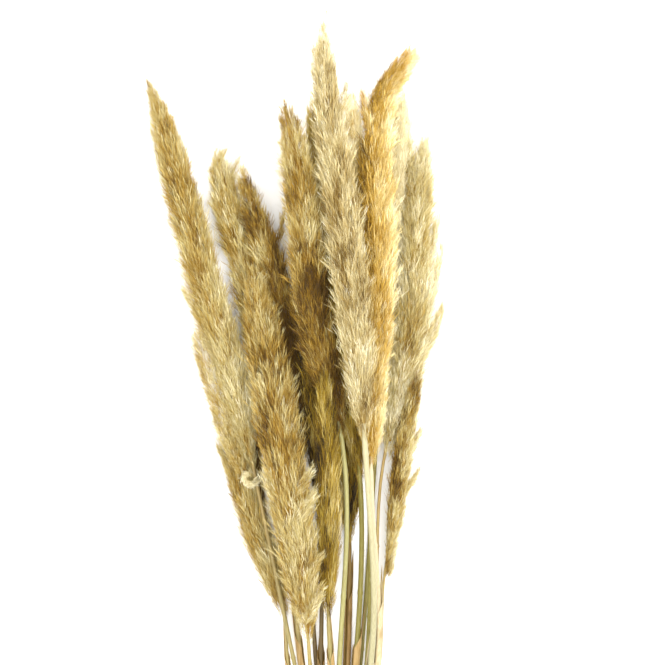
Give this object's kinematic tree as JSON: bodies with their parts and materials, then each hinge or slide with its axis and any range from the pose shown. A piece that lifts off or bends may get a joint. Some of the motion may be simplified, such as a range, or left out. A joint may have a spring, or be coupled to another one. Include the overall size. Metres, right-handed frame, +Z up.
{
  "type": "bundle of pampas grass",
  "caption": "Tied bundle of dried pampas grass lying down: long canes with feathery cream and tan plumes, dry leaf sheaths and a rubber band.",
  "frame": {"origin": "middle of the bounding box, at the floor that the bundle lies on", "axes": "+Y along the stalks from their cut ends to the plumes' tips, +Z up, +X to the right as seen from above with the plumes at the top"},
  "size_m": [0.2586, 0.819, 0.1133],
  "materials": {
    "plume": null,
    "cane": "smooth satin dry cane, straw yellow to olive green",
    "leaf_sheath": "dry papery leaf, ribbed lengthwise, tan",
    "band": "natural tan rubber, matt"
  },
  "bodies": {
    "root": {"plume_01": "plume", "stem_01": "cane", "leaf_sheath_01": "leaf_sheath", "plume_02": "plume", "stem_02": "cane", "plume_03": "plume", "stem_03": "cane", "leaf_sheath_03": "leaf_sheath", "plume_04": "plume", "stem_04": "cane", "plume_05": "plume", "stem_05": "cane", "plume_06": "plume", "stem_06": "cane", "plume_07": "plume", "stem_07": "cane", "leaf_sheath_07": "leaf_sheath", "plume_08": "plume", "stem_08": "cane", "leaf_sheath_08": "leaf_sheath", "plume_09": "plume", "stem_09": "cane", "plume_10": "plume", "stem_10": "cane", "plume_11": "plume", "stem_11": "cane", "leaf_sheath_11": "leaf_sheath", "plume_12": "plume", "stem_12": "cane", "leaf_sheath_12": "leaf_sheath", "plume_13": "plume", "stem_13": "cane", "plume_14": "plume", "stem_14": "cane", "leaf_sheath_14": "leaf_sheath", "plume_15": "plume", "stem_15": "cane", "leaf_sheath_15": "leaf_sheath", "plume_16": "plume", "stem_16": "cane", "leaf_sheath_16": "leaf_sheath", "rubber_band": "band"}
  },
  "joints": []
}
